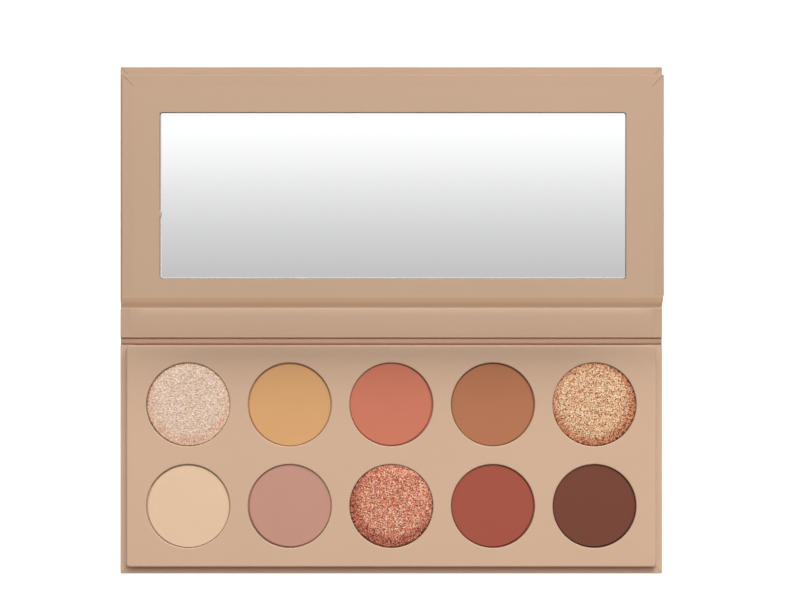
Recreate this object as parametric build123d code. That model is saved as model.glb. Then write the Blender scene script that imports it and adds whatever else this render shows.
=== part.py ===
from build123d import *

import os
from dataclasses import dataclass

# A ten-pan eyeshadow palette: a case of three paper-wrapped greyboards (base, spine and lid) that
# fold on two paper hinges, with a pan tray on the base and a mirror panel on the lid.
# It lies open and flat.  The origin is the centre of the base's underside, with +X to the right,
# +Y from the base towards the lid and +Z up.

# Case
case_width = 169.0
base_depth = 71.3
spine_width = 9.06
lid_depth = 72.9
base_gap = 2.27
lid_gap = 2.44
fold_margin = 0.12  # from the edge of the spine out to each fold line
board = 1.5
paper = 0.15
turn_in = 7.0

# Mirror panel on the inside of the lid
panel_setback = 1.5  # from the lid board's hinge edge to the panel
panel_depth = 69.0
panel_board = 1.1
panel_shift = 0.5  # the panel is glued this far off centre
lining_side_inset = 3.0
lining_front_inset = 3.8
window_width = 145.25
window_depth = 51.9
window_hinge_margin = 5.2
window_radius = 0.8
mirror_gap = 0.12
mirror_thickness = 0.9
mirror_tape_thickness = 0.1
mirror_tape_width = 10.0
mirror_tape_length = 138.0
mirror_tape_pitch = 18.0

# Tray
tray_width = 164.6
tray_depth = 68.85
tray_back_margin = 0.15
well_depth = 3.0
card = 0.8
aperture = 26.0
aperture_draw = 0.45  # how far the wrapping paper is pressed down into each aperture
pitch = 31.6
wells_shift = 0.23  # how far the wells stand from the middle of the tray, toward the hinge
columns = 5

# Pans and powders
pan_diameter = 26.8
pan_wall = 0.3
pan_height = 2.8
well_clearance = 0.2
dot_diameter = 12.0
powder_gap = 0.25  # from the powder's raised face to the edge of the aperture
matte_rise = 5.4
shimmer_rise = 5.66
powder_drop = 0.22  # from the middle of a powder down to its rim

# Closing magnets
magnet_diameter = 6.0
magnet_thickness = 1.0
magnet_clearance = 0.05
magnet_inset = 4.3  # from the tray's front to the centre of a magnet
magnet_x = 1.5 * pitch

# Powders from left to right, with the row beside the hinge first, and which of them shimmer
powder_rows = [
    ["champagne_shimmer", "ochre", "coral", "caramel", "gold_shimmer"],
    ["vanilla", "mauve_rose", "rose_copper_shimmer", "brick_red", "dark_chocolate"],
]

# Edges along Y, from the front of the base to the free edge of the lid
half_width = case_width / 2
base_back = base_depth / 2
base_front = -base_back
spine_front = base_back + base_gap
spine_back = spine_front + spine_width
lid_hinge_edge = spine_back + lid_gap
lid_free_edge = lid_hinge_edge + lid_depth
panel_hinge_edge = lid_hinge_edge + panel_setback
panel_free_edge = panel_hinge_edge + panel_depth
base_fold = spine_front - fold_margin
lid_fold = spine_back + fold_margin
tray_back = base_back - tray_back_margin
tray_front = tray_back - tray_depth
tray_middle = (tray_front + tray_back) / 2
wells_middle = tray_middle + wells_shift
window_middle = panel_hinge_edge + window_hinge_margin + window_depth / 2
tray_magnet_y = tray_front + magnet_inset
lid_magnet_y = lid_fold + base_fold - tray_magnet_y

# Levels along Z
board_top = paper + board
inner_face = board_top + paper
panel_bottom = inner_face + paper
panel_top = panel_bottom + panel_board
panel_face = panel_top + paper
lining_face = panel_face + paper
block_top = inner_face + well_depth
card_top = block_top + card
pan_bottom = inner_face + paper
pan_top = pan_bottom + pan_height


@dataclass
class Slab:
    """A rectangular block, given by its limits."""

    left: float
    right: float
    front: float
    back: float
    bottom: float
    top: float

    def solid(self):
        size = (self.right - self.left, self.back - self.front, self.top - self.bottom)
        middle = ((self.left + self.right) / 2, (self.front + self.back) / 2)
        block = Box(*size, align=(Align.CENTER, Align.CENTER, Align.MIN))
        return Pos(*middle, self.bottom) * block

    def grown(self, sides, front=0.0, back=0.0, bottom=0.0, top=0.0):
        return Slab(
            self.left - sides,
            self.right + sides,
            self.front - front,
            self.back + back,
            self.bottom - bottom,
            self.top + top,
        )


def wrapping(inner, wrap_front, wrap_back):
    """Paper glued under a board, up its free edges and turned in over its inner face."""
    front = paper if wrap_front else 0.0
    back = paper if wrap_back else 0.0
    front_turn = -turn_in if wrap_front else 0.0
    back_turn = -turn_in if wrap_back else 0.0
    skin = inner.grown(paper, front, back, paper, paper)
    opening = inner.grown(-turn_in, front_turn, back_turn, 0.0, paper)
    return skin.solid() - inner.solid() - opening.solid()


def lining(outer, between_turn_ins):
    """Paper over the turn-ins, dropping to the board between them."""
    return outer.solid() + between_turn_ins.solid()


def window(width, depth, bottom, top):
    """A prism with the rounded outline of the mirror."""
    outline = RectangleRounded(width, depth, window_radius)
    return Pos(panel_shift, window_middle, bottom) * extrude(outline, top - bottom)


def disc(diameter, x, y, bottom, top):
    along_z = (Align.CENTER, Align.CENTER, Align.MIN)
    return Pos(x, y, bottom) * Cylinder(diameter / 2, top - bottom, align=along_z)


def pan_place(row, column):
    x = (column - (columns - 1) / 2) * pitch
    y = wells_middle + (0.5 - row) * pitch
    return x, y


pan_places = [pan_place(row, column) for row in range(2) for column in range(columns)]
magnet_columns = (-magnet_x, magnet_x)

# Boards, and the room between their turn-ins
base_slab = Slab(-half_width + paper, half_width - paper, base_front + paper, base_back, paper, board_top)
spine_slab = Slab(-half_width + paper, half_width - paper, spine_front, spine_back, paper, board_top)
lid_slab = Slab(
    -half_width + paper, half_width - paper, lid_hinge_edge, lid_free_edge - paper, paper, board_top
)
panel_slab = Slab(
    panel_shift - half_width + paper,
    panel_shift + half_width - paper,
    panel_hinge_edge,
    panel_free_edge - paper,
    panel_bottom,
    panel_top,
)
tray_slab = Slab(-tray_width / 2, tray_width / 2, tray_front, tray_back, inner_face, block_top)
tray_core = tray_slab.grown(-paper, -paper, -paper)


def case_papers():
    return {
        "base_cover_paper": wrapping(base_slab, True, False),
        "spine_cover_paper": wrapping(spine_slab, False, False),
        "lid_cover_paper": wrapping(lid_slab, False, True),
        "mirror_panel_wrap": wrapping(panel_slab, False, True),
    }


def boards():
    panel = panel_slab.solid() - window(window_width, window_depth, panel_bottom, panel_top)
    for x in magnet_columns:
        hole = magnet_diameter + 2 * magnet_clearance
        panel -= disc(hole, x, lid_magnet_y, panel_bottom, panel_top)
    return {
        "base_board": base_slab.solid(),
        "spine_board": spine_slab.solid(),
        "lid_board": lid_slab.solid(),
        "mirror_panel_board": panel,
    }


def inner_linings():
    spine_sheet = Slab(
        -half_width + lining_side_inset,
        half_width - lining_side_inset,
        spine_front,
        spine_back,
        inner_face,
        inner_face + paper,
    )
    spine_middle = spine_slab.grown(-turn_in)
    spine_middle.bottom = board_top
    spine_middle.top = spine_sheet.top
    lid_sheet = Slab(
        panel_shift - half_width + lining_side_inset,
        panel_shift + half_width - lining_side_inset,
        panel_hinge_edge,
        panel_free_edge - lining_front_inset,
        panel_face,
        lining_face,
    )
    lid_middle = panel_slab.grown(-turn_in, 0.0, -turn_in)
    lid_middle.bottom = panel_top
    lid_middle.top = lining_face
    lid_lining = lining(lid_sheet, lid_middle)
    return {
        "spine_lining_paper": lining(spine_sheet, spine_middle),
        "lid_lining_paper": lid_lining - window(window_width, window_depth, panel_top, lining_face),
    }


def hinge_papers():
    """The strips of cover paper and lining that bend, one pair in each gap."""
    reach = half_width - lining_side_inset
    base_cover = Slab(-half_width, half_width, base_back, spine_front, 0.0, paper)
    lid_cover = Slab(-half_width, half_width, spine_back, lid_hinge_edge, 0.0, paper)
    base_floor = Slab(-reach, reach, base_back, spine_front, paper, 2 * paper)
    base_leg = Slab(-reach, reach, base_back, base_back + paper, paper, inner_face)
    tail_front = wells_middle + pitch / 2 + pan_diameter / 2 + well_clearance + paper
    base_tail = Slab(
        base_slab.left + turn_in, base_slab.right - turn_in, tail_front, base_back, board_top, inner_face
    )
    lid_bridge = Slab(-reach, reach, spine_back, panel_hinge_edge, inner_face, inner_face + paper)
    lid_leg = Slab(
        -reach, reach, panel_hinge_edge - paper, panel_hinge_edge, inner_face, lining_face
    )
    return {
        "base_hinge_cover": base_cover.solid(),
        "base_hinge_lining": base_floor.solid() + base_leg.solid() + base_tail.solid(),
        "lid_hinge_cover": lid_cover.solid(),
        "lid_hinge_lining": lid_bridge.solid() + lid_leg.solid(),
    }


def tray():
    block = tray_core.solid()
    whole_core = tray_core.grown(0.0, top=card)
    top_card = whole_core.solid() - tray_core.solid()
    wrap = whole_core.grown(paper, paper, paper, 0.0, paper).solid() - whole_core.solid()
    draw_bottom = card_top + paper - aperture_draw
    for x, y in pan_places:
        block -= disc(pan_diameter + 2 * well_clearance, x, y, inner_face, block_top)
        card_hole = disc(aperture + 2 * paper, x, y, block_top, card_top)
        top_card -= card_hole
        wrap += disc(aperture + 2 * paper, x, y, draw_bottom, card_top)
        wrap -= disc(aperture, x, y, draw_bottom, card_top + paper)
    for x in magnet_columns:
        pocket = magnet_diameter + 2 * magnet_clearance
        block -= disc(pocket, x, tray_magnet_y, block_top - magnet_thickness, block_top)
    return {"tray_block": block, "tray_card": top_card, "tray_wrap_paper": wrap}


def adhesives():
    under_tray = base_slab.grown(-turn_in, -turn_in, -turn_in)
    under_tray.back = wells_middle + pitch / 2 + pan_diameter / 2 + well_clearance
    under_tray.bottom = board_top
    under_tray.top = inner_face
    under_panel = lid_slab.grown(-turn_in, -panel_setback, -turn_in)
    under_panel.bottom = board_top
    under_panel.top = inner_face
    dots = [disc(dot_diameter, x, y, inner_face, pan_bottom) for x, y in pan_places]
    strip = Box(mirror_tape_length, mirror_tape_width, mirror_tape_thickness)
    strip_level = panel_bottom + mirror_tape_thickness / 2
    strips = [
        Pos(panel_shift, window_middle + step * mirror_tape_pitch, strip_level) * strip
        for step in (-1, 0, 1)
    ]
    return {
        "tray_adhesive": under_tray.solid(),
        "panel_adhesive": under_panel.solid(),
        "pan_adhesive_dots": Compound(dots),
        "mirror_tape": Compound(strips),
    }


def magnets():
    tray_level = block_top - magnet_thickness
    in_tray = [disc(magnet_diameter, x, tray_magnet_y, tray_level, block_top) for x in magnet_columns]
    panel_level = panel_bottom + magnet_thickness
    in_lid = [disc(magnet_diameter, x, lid_magnet_y, panel_bottom, panel_level) for x in magnet_columns]
    return {"tray_magnets": Compound(in_tray), "lid_magnets": Compound(in_lid)}


def mirror():
    width = window_width - 2 * mirror_gap
    depth = window_depth - 2 * mirror_gap
    bottom = panel_bottom + mirror_tape_thickness
    return {"mirror": window(width, depth, bottom, bottom + mirror_thickness)}


def pan(x, y):
    outside = disc(pan_diameter, x, y, pan_bottom, pan_top)
    return outside - disc(pan_diameter - 2 * pan_wall, x, y, pan_bottom + pan_wall, pan_top)


def powder(x, y, rise):
    """A pressed cake that fills its pan and stands up, slightly domed, in the card's aperture."""
    raised_radius = aperture / 2 - powder_gap
    floor = pan_bottom + pan_wall
    dome_radius = (raised_radius**2 + powder_drop**2) / (2 * powder_drop)
    raised = disc(2 * raised_radius, x, y, floor, rise)
    raised &= Pos(x, y, rise - dome_radius) * Sphere(dome_radius)
    return raised + disc(pan_diameter - 2 * pan_wall, x, y, floor, pan_top)


def pans_and_powders():
    pieces = {}
    names = [name for row in powder_rows for name in row]
    for number, (name, (x, y)) in enumerate(zip(names, pan_places), start=1):
        rise = shimmer_rise if name.endswith("shimmer") else matte_rise
        pieces[f"pan_{number:02d}"] = pan(x, y)
        pieces[f"powder_{name}"] = powder(x, y, rise)
    return pieces


os.makedirs("parts", exist_ok=True)
for make in (
    boards,
    case_papers,
    inner_linings,
    hinge_papers,
    tray,
    adhesives,
    magnets,
    mirror,
    pans_and_powders,
):
    for node, shape in make().items():
        export_step(shape, f"parts/{node}.step")
print("fold lines along X at y =", round(base_fold, 4), "and", round(lid_fold, 4))
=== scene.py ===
import math
import random

import bmesh
import bpy
from mathutils import Matrix, Vector


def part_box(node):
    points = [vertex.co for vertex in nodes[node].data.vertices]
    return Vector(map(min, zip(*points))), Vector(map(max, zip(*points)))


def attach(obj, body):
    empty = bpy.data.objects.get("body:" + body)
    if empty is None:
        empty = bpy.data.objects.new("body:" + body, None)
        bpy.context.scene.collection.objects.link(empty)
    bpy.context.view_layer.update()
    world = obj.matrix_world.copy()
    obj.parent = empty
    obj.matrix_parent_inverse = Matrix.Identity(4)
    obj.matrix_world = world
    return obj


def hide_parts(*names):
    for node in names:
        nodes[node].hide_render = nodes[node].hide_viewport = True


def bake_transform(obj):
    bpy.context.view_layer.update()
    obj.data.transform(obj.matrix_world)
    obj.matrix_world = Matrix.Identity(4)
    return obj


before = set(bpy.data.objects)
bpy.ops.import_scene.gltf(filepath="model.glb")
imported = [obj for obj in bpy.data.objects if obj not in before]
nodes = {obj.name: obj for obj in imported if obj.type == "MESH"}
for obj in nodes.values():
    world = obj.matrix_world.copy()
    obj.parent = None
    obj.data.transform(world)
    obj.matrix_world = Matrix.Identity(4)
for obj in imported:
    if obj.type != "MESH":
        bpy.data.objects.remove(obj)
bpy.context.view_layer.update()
mm = 0.001

# The camera looks straight down on the open palette through a long lens, so that its edges stay
# square.  Colours are shown as they are mixed, without a film curve.
view_width = 245.9 * mm
camera_height = 1200 * mm
camera_aim = Vector((1.0, 49.6, 3.0)) * mm
camera_data = bpy.data.cameras.new("camera")
camera_data.lens = camera_data.sensor_width * camera_height / view_width
camera = bpy.data.objects.new("camera", camera_data)
camera.location = camera_aim + Vector((0, 0, camera_height))
bpy.context.scene.collection.objects.link(camera)
bpy.context.scene.camera = camera
bpy.context.scene.view_settings.view_transform = "Standard"

# The studio lights: a white room, a soft box overhead, weak fill from both sides, and one large
# soft lamp behind the lid that leaves everything facing the front edge darker.
room_light = 0.22
room = bpy.data.worlds.new("white_room")
room.use_nodes = True
room_nodes = room.node_tree.nodes
room_links = room.node_tree.links
room_nodes["Background"].inputs["Color"].default_value = (1, 1, 1, 1)
room_nodes["Background"].inputs["Strength"].default_value = room_light
seen_wall = room_nodes.new("ShaderNodeBackground")
ray_kind = room_nodes.new("ShaderNodeLightPath")
wall_or_light = room_nodes.new("ShaderNodeMixShader")
room_links.new(ray_kind.outputs["Is Camera Ray"], wall_or_light.inputs["Fac"])
room_links.new(room_nodes["Background"].outputs[0], wall_or_light.inputs[1])
room_links.new(seen_wall.outputs[0], wall_or_light.inputs[2])
room_links.new(wall_or_light.outputs[0], room_nodes["World Output"].inputs["Surface"])
bpy.context.scene.world = room


def lamp(name, place, target, size, share, in_gloss=True):
    """A square soft lamp that gives a white surface at its target this share of full white."""
    data = bpy.data.lights.new(name, "AREA")
    data.size = size * mm
    ray = (Vector(place) - Vector(target)) * mm
    data.energy = share * math.pi**2 * ray.length_squared / (ray.z / ray.length)
    stand = bpy.data.objects.new(name, data)
    stand.location = Vector(place) * mm
    stand.rotation_euler = ray.to_track_quat("Z", "Y").to_euler()
    stand.visible_camera = False
    stand.visible_glossy = in_gloss
    bpy.context.scene.collection.objects.link(stand)


lamp("top_box", (60, 560, 1850), (0, 45, 0), 500, 0.25, in_gloss=False)
lamp("back_lamp", (150, 850, 950), (0, 45, 0), 700, 0.50)
lamp("left_fill", (-900, 60, 640), (0, 45, 0), 500, 0.04, in_gloss=False)
lamp("right_fill", (900, 60, 640), (0, 45, 0), 500, 0.07, in_gloss=False)


class Shade:
    """A socket in a finish's nodes.  Adding, subtracting and multiplying make Math nodes."""

    def __init__(self, tree, socket=None):
        self.tree = tree
        self.socket = socket

    def node(self, kind, inputs=None, output=0, stops=None, **settings):
        """Adds a node: first its settings, then the values or links of its sockets."""
        made = self.tree.nodes.new(kind)
        for setting, value in settings.items():
            setattr(made, setting, value)
        if stops:
            elements = made.color_ramp.elements
            elements[0].position = stops[0][0]
            elements[1].position = stops[-1][0]
            for place, _ in stops[1:-1]:
                elements.new(place)
            for element, (_, colour) in zip(elements, stops):
                element.color = (*colour, 1)
        for name, value in (inputs or {}).items():
            if isinstance(value, Shade):
                self.tree.links.new(value.socket, made.inputs[name])
            else:
                made.inputs[name].default_value = value
        return Shade(self.tree, made.outputs[output])

    def math(self, operation, *values):
        return self.node("ShaderNodeMath", dict(enumerate(values)), operation=operation)

    def __add__(self, other):
        return self.math("ADD", self, other)

    def __sub__(self, other):
        return self.math("SUBTRACT", self, other)

    def __rsub__(self, other):
        return self.math("SUBTRACT", other, self)

    def __mul__(self, other):
        return self.math("MULTIPLY", self, other)

    __radd__ = __add__
    __rmul__ = __mul__

    def place(self):
        """Where a point of the object is, in metres."""
        return self.node("ShaderNodeTexCoord", output="Object")

    def axis(self, letter):
        return self.node("ShaderNodeSeparateXYZ", {0: self}, output=letter)

    def noise(self, place, scale, detail):
        return self.node("ShaderNodeTexNoise", {"Vector": place, "Scale": scale, "Detail": detail})

    def stretched(self, scale):
        return self.node("ShaderNodeMapping", {"Vector": self, "Scale": scale})

    def ranged(self, start, stop, at_start=0.0, at_stop=1.0):
        """A number that goes from at_start to at_stop while this one goes from start to stop."""
        limits = {"From Min": start, "From Max": stop, "To Min": at_start, "To Max": at_stop}
        return self.node("ShaderNodeMapRange", {"Value": self, **limits})

    def ramp(self, stops):
        return self.node("ShaderNodeValToRGB", {0: self}, stops=stops)

    def of_tone(self, tone):
        """The tone, made lighter or darker by this value."""
        return self.node("ShaderNodeVectorMath", {0: tone, "Scale": self}, operation="SCALE")

    def bump(self, strength, depth):
        relief = {"Height": self, "Strength": strength, "Distance": depth}
        return self.node("ShaderNodeBump", relief)

    def into(self, shader, socket):
        self.tree.links.new(self.socket, shader.inputs[socket])


def new_finish(name, values):
    """A material with these numbers on its shader, and the means to add nodes to it."""
    material = bpy.data.materials.new(name)
    material.use_nodes = True
    shader = material.node_tree.nodes["Principled BSDF"]
    for socket, value in values.items():
        shader.inputs[socket].default_value = value
    return material, shader, Shade(material.node_tree)


def placed(name, bm, material):
    """The finished mesh as an object in the scene, with its place in its mesh."""
    mesh = bpy.data.meshes.new(name)
    bm.to_mesh(mesh)
    bm.free()
    mesh.materials.append(material)
    thing = bpy.data.objects.new(name, mesh)
    bpy.context.scene.collection.objects.link(thing)
    return thing


# The table is a sheet of white acrylic, lit from below so that the palette casts no shadow on it.
table_finish, _, _ = new_finish(
    "white_table",
    {
        "Base Color": (0.93, 0.93, 0.93, 1),
        "Roughness": 0.9,
        "Emission Color": (1, 1, 1, 1),
        "Emission Strength": 0.62,
    },
)
table_reach = 4000 * mm
table_drop = 0.05 * mm
bm = bmesh.new()
bmesh.ops.create_grid(bm, x_segments=1, y_segments=1, size=table_reach)
bmesh.ops.translate(bm, verts=bm.verts, vec=(0, 0, -table_drop))
table = placed("table", bm, table_finish)
table.visible_diffuse = False

# A softly shaded card high above the camera, seen only in reflections: grey over the hinge and
# white beyond the lid.
card_height = 2000 * mm
card_grey_y = 72 * mm
card_white_y = 193 * mm
card_reach = 12000 * mm
card_greys = [(0.0, 0.57), (0.32, 0.70), (0.545, 0.815), (0.765, 0.945), (1.0, 1.06)]
card_stops = [(share, (grey, grey, grey)) for share, grey in card_greys]
card_finish, _, shade = new_finish("shaded_card", {})
card_colour = shade.place().axis("Y").ranged(card_grey_y, card_white_y).ramp(card_stops)
card_light = shade.node("ShaderNodeEmission", {"Color": card_colour})
card_light.tree.links.new(
    card_light.socket, card_light.tree.nodes["Material Output"].inputs["Surface"]
)
bm = bmesh.new()
bmesh.ops.create_grid(bm, x_segments=1, y_segments=1, size=card_reach)
bmesh.ops.translate(bm, verts=bm.verts, vec=(0, camera_aim.y, card_height))
card = placed("shaded_card", bm, card_finish)
card.visible_camera = False
card.visible_diffuse = False
card.visible_shadow = False

# A strip of black net stands over the hinge, thinner towards its top and its ends, and takes some
# of the back lamp off the tray's back edge.
net_low = 9.5 * mm
net_high = 32 * mm
net_y = 37.9 * mm
net_end = 110 * mm
net_fade = 55 * mm
net_density = 0.70
net_finish, net_shader, shade = new_finish("black_net", {"Base Color": (0.02, 0.02, 0.02, 1)})
thinner_up = shade.place().axis("Z").ranged(net_low, net_high, net_density, 0.0)
from_middle = shade.math("ABSOLUTE", shade.place().axis("X"))
(thinner_up * from_middle.ranged(net_fade, net_end, 1.0, 0.1)).into(net_shader, "Alpha")
bm = bmesh.new()
corners = [(-net_end, net_low), (net_end, net_low), (net_end, net_high), (-net_end, net_high)]
bm.faces.new([bm.verts.new((x, net_y, z)) for x, z in corners])
net = placed("black_net", bm, net_finish)
net.visible_camera = False
net.visible_glossy = False

# Greyboard: the stiff recycled board inside the base, the spine, the lid, the mirror panel and
# the tray.  Its cut edges and faces are grey-brown with short darker fibres.
greyboard_tone = (0.33, 0.27, 0.215)
greyboard, board_shader, shade = new_finish("greyboard", {"Roughness": 0.88})
place = shade.place()
fibres = shade.noise(place.stretched((1.0, 0.35, 1.0)), 2600.0, 4.0)
flecks = shade.node("ShaderNodeTexVoronoi", {"Vector": place, "Scale": 900.0}, feature="F1")
(0.82 + fibres * 0.3 + flecks * 0.08).of_tone(greyboard_tone).into(board_shader, "Base Color")
fibres.bump(0.4, 0.05 * mm).into(board_shader, "Normal")
for name in ("base_board", "spine_board", "lid_board", "mirror_panel_board", "tray_block"):
    nodes[name].data.materials[0] = greyboard


# The case paper: art paper printed a flat warm beige under a matt film.  The film has a very
# fine orange peel, and the paper below it clouds a little from place to place.
def paper_finish(name, tone, cloud_size=22.0):
    """Printed paper of this tone, with clouds of this size in millimetres."""
    material, shader, shade = new_finish(name, {"Specular IOR Level": 0.6})
    place = shade.place()
    clouds = shade.noise(place, 1000.0 / cloud_size, 3.0)
    fibres = shade.noise(place.stretched((0.3, 1.0, 1.0)), 1500.0, 3.0)
    grain = shade.noise(place, 5200.0, 2.0)
    value = 0.93 + clouds * 0.06 + fibres * 0.035 + grain * 0.045
    value.of_tone(tone).into(shader, "Base Color")
    (0.37 + grain * 0.1).into(shader, "Roughness")
    (grain * 0.6 + fibres * 0.4).bump(0.5, 0.010 * mm).into(shader, "Normal")
    return material


case_paper = paper_finish("case_paper", (0.480, 0.311, 0.204))

# Base paper: the same paper on the base, painted a little paler as painted light, for the stronger
# light the base gets than the lid.  Along the tray's front foot it is painted darker and redder as
# a painted shadow of the tray's front wall, which fades towards the front edge and out at the
# tray's two ends.
painted_shadow_reach = 1.9 * mm
painted_shadow_tint = (0.88, 0.62, 0.44)
base_paper = paper_finish("base_paper", (0.615, 0.412, 0.286))
base_shader = base_paper.node_tree.nodes["Principled BSDF"]
plain = Shade(base_paper.node_tree, base_shader.inputs["Base Color"].links[0].from_socket)
foot_low, foot_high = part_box("tray_wrap_paper")
across = plain.place().axis("Y")
from_middle = plain.math("ABSOLUTE", plain.place().axis("X"))
# Painted shadow: a darker, redder band on the front margin, strongest at the tray's front wall.
near_foot = across.ranged(foot_low.y - painted_shadow_reach, foot_low.y - 0.1 * mm)
in_front = across.ranged(foot_low.y + 0.5 * mm, foot_low.y + 0.1 * mm)
between_ends = from_middle.ranged(foot_high.x + 0.2 * mm, foot_high.x - 1.6 * mm)
painted_shadow = (near_foot * in_front * between_ends).ramp([(0.0, (1.0, 1.0, 1.0)), (1.0, painted_shadow_tint)])
plain.node("ShaderNodeVectorMath", {0: plain, 1: painted_shadow}, operation="MULTIPLY").into(
    base_shader, "Base Color"
)

# Base cover: one sheet wrapped under the base board and up its three free edges, folded tight
# over them and turned in on the top face, with the corners cut to a mitre.
paper = 0.15 * mm
turn_in = 7.0 * mm
fold_radius = 0.32 * mm
mitre_width = 0.10 * mm
mitre_depth = 0.15 * mm


def wrapped_shell(low, high, hinge_sides):
    """Paper round a board, cut square at its hinge sides: -1 and 1 are the low and high Y."""
    spare = 2 * turn_in
    start = low.y - spare * (-1 in hinge_sides)
    stop = high.y + spare * (1 in hinge_sides)
    middle = Vector(((low.x + high.x) / 2, (start + stop) / 2, (low.z + high.z) / 2))
    size = Vector((high.x - low.x, stop - start, high.z - low.z))
    bm = bmesh.new()
    bmesh.ops.create_cube(bm, size=1, matrix=Matrix.LocRotScale(middle, None, size))
    opening = max(bm.faces, key=lambda face: face.calc_center_median().z)
    bmesh.ops.inset_region(bm, faces=[opening], thickness=turn_in)
    inner = set(opening.verts)
    folds = [edge for edge in bm.edges if not inner & set(edge.verts)]
    bmesh.ops.bevel(
        bm, geom=folds, affect="EDGES", offset=fold_radius, segments=5, profile=0.5, material=-1
    )
    mitres = [
        edge
        for vertex in opening.verts
        for edge in vertex.link_edges
        if edge.other_vert(vertex) not in inner
    ]
    lines = [(edge.verts[0].co.copy(), edge.verts[1].co.copy()) for edge in mitres]
    bmesh.ops.delete(bm, geom=[opening], context="FACES")
    cut = bmesh.ops.bevel(
        bm, geom=mitres, affect="EDGES", offset=mitre_width, segments=2, profile=0.5, material=-1
    )
    for vertex in cut["verts"]:
        for first, second in lines:
            along = (second - first).normalized()
            aside = (vertex.co - first) - along * (vertex.co - first).dot(along)
            if aside.length < mitre_width / 10:
                vertex.co.z -= mitre_depth
                break
    for side in hinge_sides:
        edge_y = low.y if side < 0 else high.y
        bmesh.ops.bisect_plane(
            bm,
            geom=bm.verts[:] + bm.edges[:] + bm.faces[:],
            plane_co=(0, edge_y, 0),
            plane_no=(0, side, 0),
            clear_outer=True,
        )
    bmesh.ops.solidify(bm, geom=bm.faces[:], thickness=paper)
    bmesh.ops.recalc_face_normals(bm, faces=bm.faces)
    return bm


def softened(thing):
    """Smooth shading that keeps the big faces flat and the cut edges crisp."""
    for polygon in thing.data.polygons:
        polygon.use_smooth = True
    thing.data.set_sharp_from_angle(angle=math.radians(40))
    modifier = thing.modifiers.new("flat_faces", "WEIGHTED_NORMAL")
    modifier.keep_sharp = True
    modifier.weight = 80
    return thing


bm = wrapped_shell(*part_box("base_cover_paper"), (1,))
base_cover = softened(placed("base_cover", bm, base_paper))
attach(base_cover, "base")
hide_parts("base_cover_paper")

# Glue and tape: thin milky films that hold the tray and the panel to their boards, the pans to
# the base and the mirror to the lid.
glue_tone = (0.70, 0.66, 0.58)
glue, glue_shader, shade = new_finish("glue_film", {"Roughness": 0.35})
streaks = shade.noise(shade.place(), 300.0, 3.0)
(0.85 + streaks * 0.3).of_tone(glue_tone).into(glue_shader, "Base Color")
for name in ("tray_adhesive", "panel_adhesive", "pan_adhesive_dots", "mirror_tape"):
    nodes[name].data.materials[0] = glue

# Closing magnets: small nickel-plated discs, two in the tray's front edge and two in the mirror
# panel, which meet when the palette is shut.
nickel, nickel_shader, shade = new_finish(
    "nickel_plate", {"Metallic": 1.0, "Base Color": (0.60, 0.58, 0.54, 1)}
)
(0.2 + shade.noise(shade.place(), 3000.0, 2.0) * 0.2).into(nickel_shader, "Roughness")
for name in ("tray_magnets", "lid_magnets"):
    nodes[name].data.materials[0] = nickel

# Tray card: the board that lies over the wells and holds the pans down.  Its ten holes are
# punched clean, with the upper edge of each one crushed round by the pressed paper.
aperture_radius = 13.0 * mm
aperture_draw = 0.45 * mm
aperture_round = 0.38 * mm
tray_edge_round = 0.40 * mm
tray_corner = 0.60 * mm
pan_names = [f"pan_{number:02d}" for number in range(1, 11)]
pan_centres = [(sum(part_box(name), Vector()) / 2).to_2d() for name in pan_names]


def rounded_outline(bm, low, high, radius, level):
    """The edges of a rectangle with rounded corners."""
    middle = Vector(((low.x + high.x) / 2, (low.y + high.y) / 2, level))
    size = Vector((high.x - low.x, high.y - low.y, 1))
    made = bmesh.ops.create_grid(
        bm, x_segments=1, y_segments=1, size=0.5, matrix=Matrix.LocRotScale(middle, None, size)
    )
    corners = made["verts"]
    bmesh.ops.bevel(
        bm, geom=corners, affect="VERTICES", offset=radius, segments=6, profile=0.5, material=-1
    )
    bmesh.ops.delete(bm, geom=bm.faces[:], context="FACES_ONLY")


def pierced_sheet(low, high, corner, level, holes):
    """A flat sheet with rounded corners and the holes that each of these calls draws in it."""
    bm = bmesh.new()
    rounded_outline(bm, low, high, corner, level)
    for draw_hole in holes:
        draw_hole(bm)
    bmesh.ops.triangle_fill(
        bm, edges=bm.edges[:], use_beauty=True, use_dissolve=False, normal=(0, 0, 1)
    )
    outside = []
    inside = []
    for edge in bm.edges:
        if edge.is_boundary:
            middle = (edge.verts[0].co + edge.verts[1].co) / 2
            from_sides = min(middle.x - low.x, high.x - middle.x)
            at_side = min(from_sides, middle.y - low.y, high.y - middle.y)
            (outside if at_side < corner else inside).append(edge)
    return bm, outside, inside


def edge_directions(rim):
    """For each vertex of a sheet's open edge, the level direction that leads off the sheet."""
    sides = {}
    for edge in rim:
        first, second = (vertex.co for vertex in edge.verts)
        side = (second - first).cross(Vector((0, 0, 1))).normalized()
        if side.dot((first + second) / 2 - edge.link_faces[0].calc_center_median()) < 0:
            side.negate()
        for vertex in edge.verts:
            sides.setdefault(vertex, []).append(side)
    return {vertex: (a + b) / (1 + a.dot(b)) for vertex, (a, b) in sides.items()}


def new_edge(made):
    """Of what an extrusion made, the new vertices and the new edges that join them."""
    verts = [item for item in made if isinstance(item, bmesh.types.BMVert)]
    edges = [item for item in made if isinstance(item, bmesh.types.BMEdge)]
    known = set(verts)
    return verts, [edge for edge in edges if known.issuperset(edge.verts)]


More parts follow.
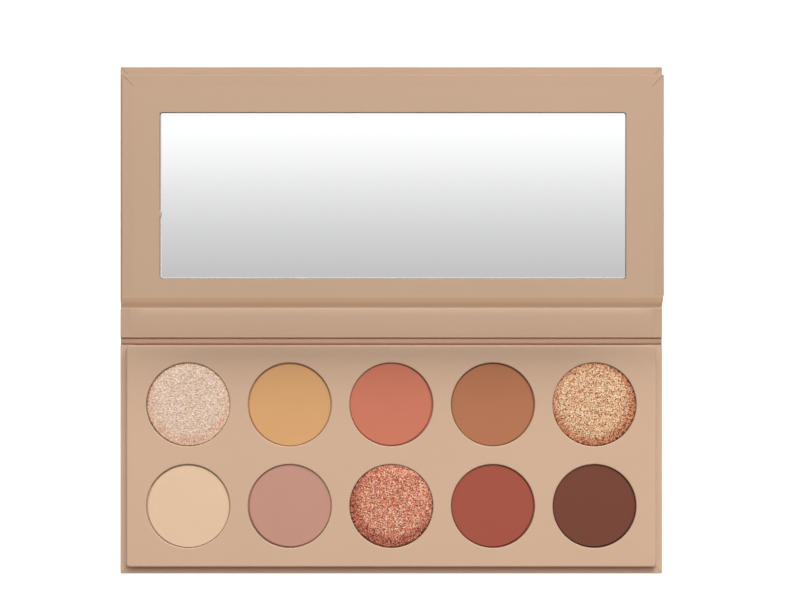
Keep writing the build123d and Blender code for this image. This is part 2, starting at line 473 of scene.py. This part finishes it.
def rolled_down(bm, rim, radius, drop, steps=5):
    """Rounds a flat sheet's open edge over and takes it straight down, to this far below it."""
    outward = edge_directions(rim)
    starts = {vertex: vertex.co.copy() for vertex in outward}
    source = {vertex: vertex for vertex in outward}
    turns = [math.radians(90 * step / steps) for step in range(1, steps + 1)]
    places = [(radius * math.sin(turn), radius * (1 - math.cos(turn))) for turn in turns]
    if drop > radius:
        places.append((radius, drop))
    for out, down in places:
        made = bmesh.ops.extrude_edge_only(bm, edges=rim)["geom"]
        new_verts, rim = new_edge(made)
        ring = {}
        for vertex in new_verts:
            old = next(
                edge.other_vert(vertex)
                for edge in vertex.link_edges
                if edge.other_vert(vertex) in source
            )
            start = source[old]
            vertex.co = starts[start] + outward[start] * out - Vector((0, 0, down))
            ring[vertex] = start
        source = ring
    return rim


def aperture_hole(centre, radius, level):
    place = Matrix.Translation((*centre, level))

    def draw_hole(bm):
        bmesh.ops.create_circle(bm, cap_ends=False, segments=96, radius=radius, matrix=place)

    return draw_hole


def tray_sheet(low, high, level, hole_radius):
    holes = [aperture_hole(centre, hole_radius, level) for centre in pan_centres]
    return pierced_sheet(low, high, tray_corner, level, holes)


card_low, card_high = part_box("tray_card")
card_inset = Vector((1, 1, 0)) * 0.05 * mm
card_hole = aperture_radius + paper + aperture_round
bm, outside, inside = tray_sheet(
    card_low + card_inset, card_high - card_inset, card_high.z, card_hole
)
thickness = card_high.z - card_low.z
hole_rims = rolled_down(bm, inside, aperture_round, thickness)
outer_rim = rolled_down(bm, outside, 0.05 * mm, thickness, steps=2)
bmesh.ops.triangle_fill(bm, edges=hole_rims + outer_rim, use_beauty=True, use_dissolve=False)
bmesh.ops.recalc_face_normals(bm, faces=bm.faces)
tray_card = softened(placed("tray_card_board", bm, greyboard))
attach(tray_card, "base")
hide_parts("tray_card")

# Tray wrap: the paper over the card and down the block's four sides, with softly rounded upper
# edges, drawn a little way down into each of the ten apertures.
# The tray's paper is the case paper painted paler, as painted light for the stronger light on the
# base.
tray_paper = paper_finish("tray_paper", (0.615, 0.406, 0.271), cloud_size=30.0)
wrap_low, wrap_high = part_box("tray_wrap_paper")
flat_inset = Vector((1, 1, 0)) * tray_edge_round
bm, outside, inside = tray_sheet(
    wrap_low + flat_inset, wrap_high - flat_inset, wrap_high.z, aperture_radius + aperture_round
)
rolled_down(bm, inside, aperture_round, aperture_draw)
rolled_down(bm, outside, tray_edge_round, wrap_high.z - wrap_low.z)
bmesh.ops.recalc_face_normals(bm, faces=bm.faces)
bmesh.ops.solidify(bm, geom=bm.faces[:], thickness=paper)
bmesh.ops.recalc_face_normals(bm, faces=bm.faces)
tray_wrap = softened(placed("tray_wrap", bm, tray_paper))
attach(tray_wrap, "base")
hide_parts("tray_wrap_paper")

# Pans: drawn tinplate cups with faint draw marks round their walls, painted a darker, warmer grey
# than bright tinplate as painted shade for the narrow gap round each cake.
tinplate, tin_shader, shade = new_finish(
    "tinplate", {"Metallic": 1.0, "Base Color": (0.46, 0.43, 0.40, 1)}
)
draw_marks = shade.noise(shade.place().stretched((0.15, 0.15, 4.0)), 1500.0, 3.0)
(0.22 + draw_marks * 0.25).into(tin_shader, "Roughness")
for name in pan_names:
    nodes[name].data.materials[0] = tinplate

# Matt powders: seven cakes of pressed pigment.  Each fills its pan, stands a little way up in the
# aperture with a soft shoulder, and was glued in slightly off the aperture's centre.
cake_steps = 96
shoulder = 0.22 * mm
cake_recess = 0.32 * mm
cake_gap = 0.26 * mm
cake_droop = 0.10 * mm
waist_depth = 0.25 * mm
dip_depth = 0.5 * mm
pan_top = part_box("pan_01")[1].z


def spun_cake(profile, centre):
    """A solid of revolution from (radius, height) points that start and end on the axis."""
    bm = bmesh.new()
    points = [bm.verts.new((radius, 0, height)) for radius, height in profile]
    edges = [bm.edges.new(pair) for pair in zip(points, points[1:])]
    bmesh.ops.spin(
        bm,
        geom=points + edges,
        cent=(0, 0, 0),
        axis=(0, 0, 1),
        angle=math.tau,
        steps=cake_steps,
        use_merge=True,
    )
    bmesh.ops.remove_doubles(bm, verts=bm.verts, dist=0.001 * mm)
    bmesh.ops.recalc_face_normals(bm, faces=bm.faces)
    bmesh.ops.translate(bm, verts=bm.verts, vec=(*centre, 0))
    return bm


def cake_profile(top, floor, pan_radius, raised_radius):
    """From the top's middle over its shoulder, in at the pan's lip, and down to the pan's floor."""
    dome = [(raised_radius - shoulder) * step / 8 for step in range(9)]
    points = [(radius, top - cake_droop * (radius / raised_radius) ** 2) for radius in dome]
    for step in range(1, 5):
        turn = math.radians(90 * step / 4)
        out = raised_radius - shoulder + shoulder * math.sin(turn)
        points.append((out, points[8][1] - shoulder * (1 - math.cos(turn))))
    waist = raised_radius - waist_depth
    dip = pan_top - dip_depth
    points += [(waist, pan_top), (waist, dip), (pan_radius, dip)]
    return points + [(pan_radius, floor), (0, floor)]


def powder_finish(name, tone):
    """Pressed pigment: quite flat in colour, with a dusty bloom and a fine, dry tooth."""
    material, shader, shade = new_finish(name, {"Specular IOR Level": 0.15, "Roughness": 0.85})
    place = shade.place()
    bloom = shade.noise(place, 160.0, 4.0)
    tooth = shade.noise(place, 3600.0, 3.0)
    (0.94 + bloom * 0.05 + tooth * 0.07).of_tone(tone).into(shader, "Base Color")
    tooth.bump(0.6, 0.02 * mm).into(shader, "Normal")
    return material


matt_powders = {
    "ochre": ((0.706, 0.383, 0.168), (0.06, -0.18)),
    "coral": ((0.621, 0.195, 0.122), (-0.18, 0.04)),
    "caramel": ((0.462, 0.181, 0.089), (-0.12, -0.15)),
    "vanilla": ((0.789, 0.554, 0.374), (0.12, -0.16)),
    "mauve_rose": ((0.556, 0.289, 0.219), (0.15, 0.12)),
    "brick_red": ((0.372, 0.089, 0.057), (-0.16, 0.05)),
    "dark_chocolate": ((0.176, 0.058, 0.036), (-0.14, 0.08)),
}
for name, (tone, offset) in matt_powders.items():
    cake_low, cake_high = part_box(f"powder_{name}")
    pan_radius = (cake_high.x - cake_low.x) / 2
    centre = ((cake_low + cake_high) / 2).to_2d() + Vector(offset) * mm
    raised_radius = aperture_radius - cake_gap
    profile = cake_profile(cake_high.z - cake_recess, cake_low.z, pan_radius, raised_radius)
    finish = powder_finish(f"powder_{name}", tone)
    cake = softened(placed(f"cake_{name}", spun_cake(profile, centre), finish))
    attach(cake, "base")
    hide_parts(f"powder_{name}")

# Shimmer powders: three cakes of soft binder packed with mica and foil flakes.  The top of each
# is a field of small flat flakes at odd angles.  A darker, redder band round the rim is painted
# shade for the dome's falling edge, painted stronger towards one side.
flake_rows = 36
flake_jitter = 0.30
flake_relief = 0.055 * mm
shimmer_recess = 0.12 * mm
shimmer_gap = 0.30 * mm
shimmer_droop = 0.30 * mm
random.seed(11)


def flake_field(raised_radius, top):
    """A disc of triangles of one size, each knocked a little out of its place and its level."""
    bm = bmesh.new()
    bmesh.ops.create_circle(bm, cap_ends=True, cap_tris=True, segments=6, radius=1.0)
    bmesh.ops.subdivide_edges(bm, edges=bm.edges[:], cuts=flake_rows - 1, use_grid_fill=True)
    step = raised_radius / flake_rows
    for vertex in bm.verts:
        reach = vertex.co.length
        turn = math.atan2(vertex.co.y, vertex.co.x)
        sector = (turn + math.pi / 6) % (math.pi / 3) - math.pi / 6
        share = reach * math.cos(sector) / math.cos(math.pi / 6)
        radius = share * raised_radius
        at_rim = share > 1 - 0.5 / flake_rows
        loose = 0.0 if at_rim else flake_jitter * step
        x = radius * math.cos(turn) + random.uniform(-loose, loose)
        y = radius * math.sin(turn) + random.uniform(-loose, loose)
        fall = shimmer_droop * share**4
        rough = 0.0 if at_rim else random.uniform(-flake_relief, 0)
        vertex.co = Vector((x, y, top - fall + rough))
    return bm


def shimmer_cake(centre, top, floor, pan_radius, raised_radius, painted_shade_lean):
    """The flakes, each with a number of its own and its share of the rim, on a cake in its pan."""
    bm = flake_field(raised_radius, top)
    grain = bm.faces.layers.float.new("grain")
    rim = bm.faces.layers.float.new("rim")
    for face in bm.faces:
        middle = face.calc_center_median()
        share = middle.to_2d().length / raised_radius
        lean = middle.to_2d().dot(painted_shade_lean) / raised_radius
        face[grain] = random.random()
        # The rim share sets the band of painted shade round the rim, leaning towards one side.
        face[rim] = max(0.0, min(1.0, (share + lean * 0.16 - 0.77) / 0.20))
    edge = [e for e in bm.edges if e.is_boundary]
    waist = 1 - waist_depth / raised_radius
    dip = pan_top - dip_depth
    stages = [(waist, pan_top), (1.0, dip), (pan_radius / raised_radius / waist, dip), (1.0, floor)]
    for scale, level in stages:
        made = bmesh.ops.extrude_edge_only(bm, edges=edge)["geom"]
        verts, edge = new_edge(made)
        for vertex in verts:
            vertex.co = Vector((vertex.co.x * scale, vertex.co.y * scale, level))
    bmesh.ops.contextual_create(bm, geom=edge)
    for face in bm.faces:
        if face.calc_center_median().z < pan_top + 0.01 * mm:
            face[rim] = 1.0
    bmesh.ops.recalc_face_normals(bm, faces=bm.faces)
    bmesh.ops.translate(bm, verts=bm.verts, vec=(*centre, 0))
    return bm


def shimmer_finish(name, flakes, rim_painted_shade_flakes):
    """Flakes of several tones, foil among them, the palest and darkest partly painted glints and
    shade, turning at the rim to a darker, redder painted shade.
    """
    material, shader, shade = new_finish(name, {"Metallic": 0.40, "Specular IOR Level": 0.4})
    grain = shade.node("ShaderNodeAttribute", attribute_name="grain", output="Fac")
    rim = shade.node("ShaderNodeAttribute", attribute_name="rim", output="Fac")
    tones = {0: rim, 6: grain.ramp(flakes), 7: grain.ramp(rim_painted_shade_flakes)}
    shade.node("ShaderNodeMix", tones, output=2, data_type="RGBA").into(shader, "Base Color")
    (0.30 + grain * 0.15).into(shader, "Roughness")
    return material


# Each entry: the flake tones, partly the flakes' own colours and partly painted glints and painted
# shade; the darker painted shade tones at the rim; the cake's offset; and the way the rim's painted
# shade leans.
shimmer_powders = {
    "champagne_shimmer": (
        [
            (0.0, (0.499, 0.301, 0.206)),
            (0.3, (0.722, 0.499, 0.37)),
            (0.8, (0.808, 0.602, 0.464)),
            (1.0, (0.86, 0.808, 0.722)),
        ],
        [(0.0, (0.482, 0.241, 0.146)), (0.5, (0.774, 0.464, 0.318)), (1.0, (0.86, 0.688, 0.533))],
        (0.20, 0.02),
        (0.1, -0.9),
    ),
    "gold_shimmer": (
        [
            (0.0, (0.172, 0.052, 0.022)),
            (0.3, (0.568, 0.249, 0.12)),
            (0.65, (0.86, 0.482, 0.258)),
            (1.0, (0.86, 0.8, 0.568)),
        ],
        [(0.0, (0.129, 0.024, 0.009)), (0.5, (0.464, 0.138, 0.060)), (1.0, (0.86, 0.43, 0.224))],
        (-0.15, 0.10),
        (0.3, -0.5),
    ),
    "rose_copper_shimmer": (
        [
            (0.0, (0.172, 0.039, 0.019)),
            (0.35, (0.533, 0.155, 0.086)),
            (0.75, (0.808, 0.301, 0.172)),
            (1.0, (0.86, 0.688, 0.533)),
        ],
        [(0.0, (0.103, 0.017, 0.009)), (0.5, (0.37, 0.086, 0.047)), (1.0, (0.774, 0.292, 0.181))],
        (0.06, 0.18),
        (-0.5, -0.8),
    ),
}
for name, (flakes, rim_painted_shade_flakes, offset, painted_shade_lean) in shimmer_powders.items():
    cake_low, cake_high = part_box(f"powder_{name}")
    pan_radius = (cake_high.x - cake_low.x) / 2
    centre = ((cake_low + cake_high) / 2).to_2d() + Vector(offset) * mm
    bm = shimmer_cake(
        centre,
        cake_high.z - shimmer_recess,
        cake_low.z,
        pan_radius,
        aperture_radius - shimmer_gap,
        Vector(painted_shade_lean),
    )
    cake = placed(f"cake_{name}", bm, shimmer_finish(f"powder_{name}", flakes, rim_painted_shade_flakes))
    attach(cake, "base")
    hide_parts(f"powder_{name}")

# Spine cover: the same outer sheet where it wraps the narrow spine board, turned in at its ends.
spine_low, spine_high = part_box("spine_cover_paper")
bm = wrapped_shell(spine_low, spine_high, (-1, 1))
spine_cover = softened(placed("spine_cover", bm, case_paper))
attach(spine_cover, "spine")
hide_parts("spine_cover_paper")

# Spine lining: the inner sheet glued over the spine, where glue and air leave it slightly
# pillowed between its two edges.
lining_paper = paper_finish("lining_paper", (0.484, 0.318, 0.211), cloud_size=34.0)
pillow = 0.26 * mm
pillow_end = 4.0 * mm
pillow_shift = 0.2
strip_low, strip_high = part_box("spine_lining_paper")
strip_middle = (strip_low + strip_high) / 2
strip_size = Vector((strip_high.x - strip_low.x, strip_high.y - strip_low.y, 1))
strip_place = Matrix.LocRotScale(Vector((*strip_middle.to_2d(), strip_high.z)), None, strip_size)
bm = bmesh.new()
bmesh.ops.create_grid(bm, x_segments=80, y_segments=14, size=0.5, matrix=strip_place)
for vertex in bm.verts:
    across = (vertex.co.y - strip_low.y) / strip_size.y * 2 - 1 - pillow_shift
    to_end = (strip_size.x / 2 - abs(vertex.co.x - strip_middle.x)) / pillow_end
    fullness = 1 - abs(across / (1 + pillow_shift if across < 0 else 1 - pillow_shift)) ** 3
    vertex.co.z += pillow * fullness * min(1.0, to_end) ** 0.5
bmesh.ops.solidify(bm, geom=bm.faces[:], thickness=paper)
bmesh.ops.recalc_face_normals(bm, faces=bm.faces)
spine_lining = softened(placed("spine_lining", bm, lining_paper))
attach(spine_lining, "spine")
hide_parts("spine_lining_paper")

# Lid cover: the outer sheet over the lid board, turned in at its free edges.
lid_low, lid_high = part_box("lid_cover_paper")
lid_cover = softened(placed("lid_cover", wrapped_shell(lid_low, lid_high, (-1,)), case_paper))
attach(lid_cover, "lid")
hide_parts("lid_cover_paper")

# Hinge covers: the outer sheet where it runs free between two boards and folds on a line beside
# the spine.  At its ends it is folded over on itself.
fold_margin = 0.12 * mm


def folded_strip(low, high, fold):
    """Paper along Y, its two ends turned up and in, with short faces where it folds."""
    double = 2 * paper
    rows = [fold + fold_margin * step / 2 for step in (-2, -1, 0, 1, 2)]
    rows += [(low.y + fold) / 2, (fold + high.y) / 2]
    rows = sorted({low.y, high.y, *(row for row in rows if low.y < row < high.y)})
    bm = bmesh.new()
    line = [
        (low.x + turn_in, double),
        (low.x + paper, double),
        (low.x, paper),
        (low.x + paper, 0),
        (high.x - paper, 0),
        (high.x, paper),
        (high.x - paper, double),
        (high.x - turn_in, double),
    ]
    points = [bm.verts.new((x, low.y, z)) for x, z in line]
    edges = [bm.edges.new(pair) for pair in zip(points, points[1:])]
    for start, stop in zip(rows, rows[1:]):
        made = bmesh.ops.extrude_edge_only(bm, edges=edges)["geom"]
        verts, edges = new_edge(made)
        bmesh.ops.translate(bm, verts=verts, vec=(0, stop - start, 0))
    under = min(bm.faces, key=lambda face: face.calc_center_median().z)
    if under.normal.z > 0:
        bmesh.ops.reverse_faces(bm, faces=bm.faces)
    bmesh.ops.solidify(bm, geom=bm.faces[:], thickness=paper * 0.98)
    bmesh.ops.recalc_face_normals(bm, faces=bm.faces)
    return bm


for name, before, after, fold in (
    ("base_hinge_cover", "base", "spine", spine_low.y - fold_margin),
    ("lid_hinge_cover", "spine", "lid", spine_high.y + fold_margin),
):
    gap_low, gap_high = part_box(name)
    strip = placed(f"{name}_strip", folded_strip(gap_low, gap_high, fold), case_paper)
    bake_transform(strip)
    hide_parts(name)

# Hinge linings: the inner sheet where it crosses the two gaps.  Beside the tray it is tucked
# down into a groove, and at the lid it slopes from the mirror panel down to the spine.
end_margin = 2.85 * mm


def smooth_line(points, pieces=5):
    """Points along a smooth curve through these points."""
    padded = [Vector(point) for point in (points[0], *points, points[-1])]
    line = []
    for a, b, c, d in zip(padded, padded[1:], padded[2:], padded[3:]):
        for step in range(pieces):
            t = step / pieces
            square = (2 * a - 5 * b + 4 * c - d) * t**2
            cube = (3 * b - a - 3 * c + d) * t**3
            line.append((2 * b + (c - a) * t + square + cube) / 2)
    return line + [padded[-1]]


def lining_ribbon(line, low_x, high_x, shift):
    """Two papers with this (y, z) line: the lining, and the cover's turned-in ends under it.

    They move sideways by shift from one end of the line to the other.
    """
    bm = bmesh.new()
    start = line[0][0]
    span = line[-1][0] - start
    for margin, below in ((0, 0), (end_margin, paper)):
        left = low_x - margin
        width = high_x + margin - left
        places = [(left + shift * (y - start) / span, y, z - below) for y, z in line]
        points = [bm.verts.new(place) for place in places]
        edges = [bm.edges.new(pair) for pair in zip(points, points[1:])]
        verts, _ = new_edge(bmesh.ops.extrude_edge_only(bm, edges=edges)["geom"])
        bmesh.ops.translate(bm, verts=verts, vec=(width, 0, 0))
    for face in bm.faces:
        if face.normal.z < 0:
            face.normal_flip()
    bmesh.ops.solidify(bm, geom=bm.faces[:], thickness=paper * 0.9)
    bmesh.ops.recalc_face_normals(bm, faces=bm.faces)
    return bm


base_edge, inner_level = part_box("base_cover_paper")[1].yz
spine_top = strip_high.z
groove_points = [
    (base_edge - 0.50 * mm, inner_level - 0.01 * mm),
    (base_edge - 0.08 * mm, inner_level - 0.02 * mm),
    (base_edge + 0.03 * mm, 1.35 * mm),
    (base_edge + 0.07 * mm, 0.84 * mm),
    (base_edge + 0.12 * mm, 0.60 * mm),
    (base_edge + 0.20 * mm, 0.90 * mm),
    (base_edge + 0.34 * mm, 1.16 * mm),
    (base_edge + 0.80 * mm, 1.24 * mm),
    (spine_low.y - 0.56 * mm, 1.20 * mm),
    (spine_low.y - 0.30 * mm, 0.98 * mm),
    (spine_low.y - 0.20 * mm, 1.04 * mm),
    (spine_low.y - 0.06 * mm, 1.60 * mm),
    (spine_low.y, spine_top),
]
# The lining in the groove is painted darker and redder than the rest of the lining: painted shade
# for the groove's floor.
groove_paper_painted_shade = paper_finish("groove_paper_painted_shade", (0.412, 0.246, 0.156), cloud_size=34.0)
bm = lining_ribbon(smooth_line(groove_points), strip_low.x, strip_high.x, 0)
base_lining = softened(placed("base_hinge_lining_strip", bm, groove_paper_painted_shade))
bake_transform(base_lining)
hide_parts("base_hinge_lining")

panel_low, panel_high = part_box("mirror_panel_wrap")
sheet_low, sheet_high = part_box("lid_lining_paper")
slope_points = [
    (spine_high.y, spine_top),
    (spine_high.y + 0.15 * mm, spine_top - 0.03 * mm),
    (spine_high.y + 0.60 * mm, spine_top + 0.14 * mm),
    (panel_low.y - 2.30 * mm, sheet_high.z - 0.66 * mm),
    (panel_low.y - 1.50 * mm, sheet_high.z - 0.34 * mm),
    (panel_low.y - 0.80 * mm, sheet_high.z - 0.12 * mm),
    (panel_low.y - 0.30 * mm, sheet_high.z - 0.03 * mm),
    (panel_low.y, sheet_high.z),
]
# The lining on the slope is painted lighter than the rest of the lining: painted light that
# brightens the slope, which faces away from the back lamp.
slope_paper_painted_light = paper_finish("slope_paper_painted_light", (0.560, 0.352, 0.218), cloud_size=34.0)
sideways = sheet_low.x - strip_low.x
bm = lining_ribbon(smooth_line(slope_points), strip_low.x, strip_high.x, sideways)
lid_lining = softened(placed("lid_hinge_lining_strip", bm, slope_paper_painted_light))
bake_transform(lid_lining)
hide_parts("lid_hinge_lining")

# Mirror panel wrap: paper folded round the panel board and turned in on its face with mitred
# corners.  The panel is glued half a millimetre to the right of the lid's outline.
panel_wrap = softened(placed("panel_wrap", wrapped_shell(panel_low, panel_high, (-1,)), case_paper))
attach(panel_wrap, "lid")
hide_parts("mirror_panel_wrap")

# Panel lining: the inner sheet over the panel, cut 3 mm short of its sides and folded down round
# the mirror's window.  A small paper burr is left on the window's left edge.
window_round = 0.22 * mm
window_corner = 0.80 * mm
sheet_corner = 0.30 * mm
glass_gap = Vector((1, 1, 0)) * 0.12 * mm
glass_low, glass_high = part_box("mirror")
window_low = glass_low - glass_gap
window_high = glass_high + glass_gap
window_drop = sheet_high.z - glass_high.z - 0.02 * mm


def window_hole(bm):
    rim = Vector((1, 1, 0)) * window_round
    corner = window_corner + window_round
    rounded_outline(bm, window_low - rim, window_high + rim, corner, sheet_high.z)


bm, _, window_rim = pierced_sheet(
    sheet_low, sheet_high, sheet_corner, sheet_high.z, [window_hole]
)
rolled_down(bm, window_rim, window_round, window_drop)
bmesh.ops.recalc_face_normals(bm, faces=bm.faces)
bmesh.ops.solidify(bm, geom=bm.faces[:], thickness=paper)
burr_place = Vector((window_low.x, window_low.y, glass_high.z)) + Vector((0.05, 20.3, 0.2)) * mm
burr_matrix = Matrix.LocRotScale(burr_place, None, Vector((0.55, 1.1, 0.2)) * mm)
bmesh.ops.create_uvsphere(bm, u_segments=16, v_segments=10, radius=1, matrix=burr_matrix)
bmesh.ops.recalc_face_normals(bm, faces=bm.faces)
panel_lining = softened(placed("panel_lining", bm, lining_paper))
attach(panel_lining, "lid")
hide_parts("lid_lining_paper")

# Mirror: a thin silvered glass with ground edges, taped to the lid inside the window.  The
# silvering stops short of its left and lower edges, which show pale.
bare_width = 0.50 * mm
arris_width = 0.08 * mm
bare_tone = (0.74, 0.67, 0.59)
silver_tone = (0.955, 0.958, 0.960)
silvered, mirror_shader, shade = new_finish("silvered_glass", {})
place = shade.place()
haze = shade.noise(place, 60.0, 2.0)
from_left = (place.axis("X") - glass_low.x) * (1 / bare_width)
from_below = (place.axis("Y") - glass_low.y) * (1 / bare_width)
nearer = shade.math("MINIMUM", from_left, from_below)
silver = nearer.ranged(0.55, 0.95)
nearer.ramp([(0.55, bare_tone), (0.95, silver_tone)]).into(mirror_shader, "Base Color")
(silver * 0.5 + 0.5).into(mirror_shader, "Metallic")
(haze * 0.012 + (1 - silver) * 0.35 + 0.008).into(mirror_shader, "Roughness")
bm = bmesh.new()
rounded_outline(bm, glass_low, glass_high, window_corner, glass_high.z)
bmesh.ops.contextual_create(bm, geom=bm.edges[:])
made = bmesh.ops.extrude_face_region(bm, geom=bm.faces[:])["geom"]
lowered, _ = new_edge(made)
bmesh.ops.translate(bm, verts=lowered, vec=(0, 0, glass_low.z - glass_high.z))
bmesh.ops.recalc_face_normals(bm, faces=bm.faces)
level_edges = [edge for edge in bm.edges if edge.verts[0].co.z == edge.verts[1].co.z]
bmesh.ops.bevel(
    bm, geom=level_edges, affect="EDGES", offset=arris_width, segments=2, profile=0.5, material=-1
)
glass = placed("mirror_glass", bm, silvered)
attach(glass, "lid")
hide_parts("mirror")
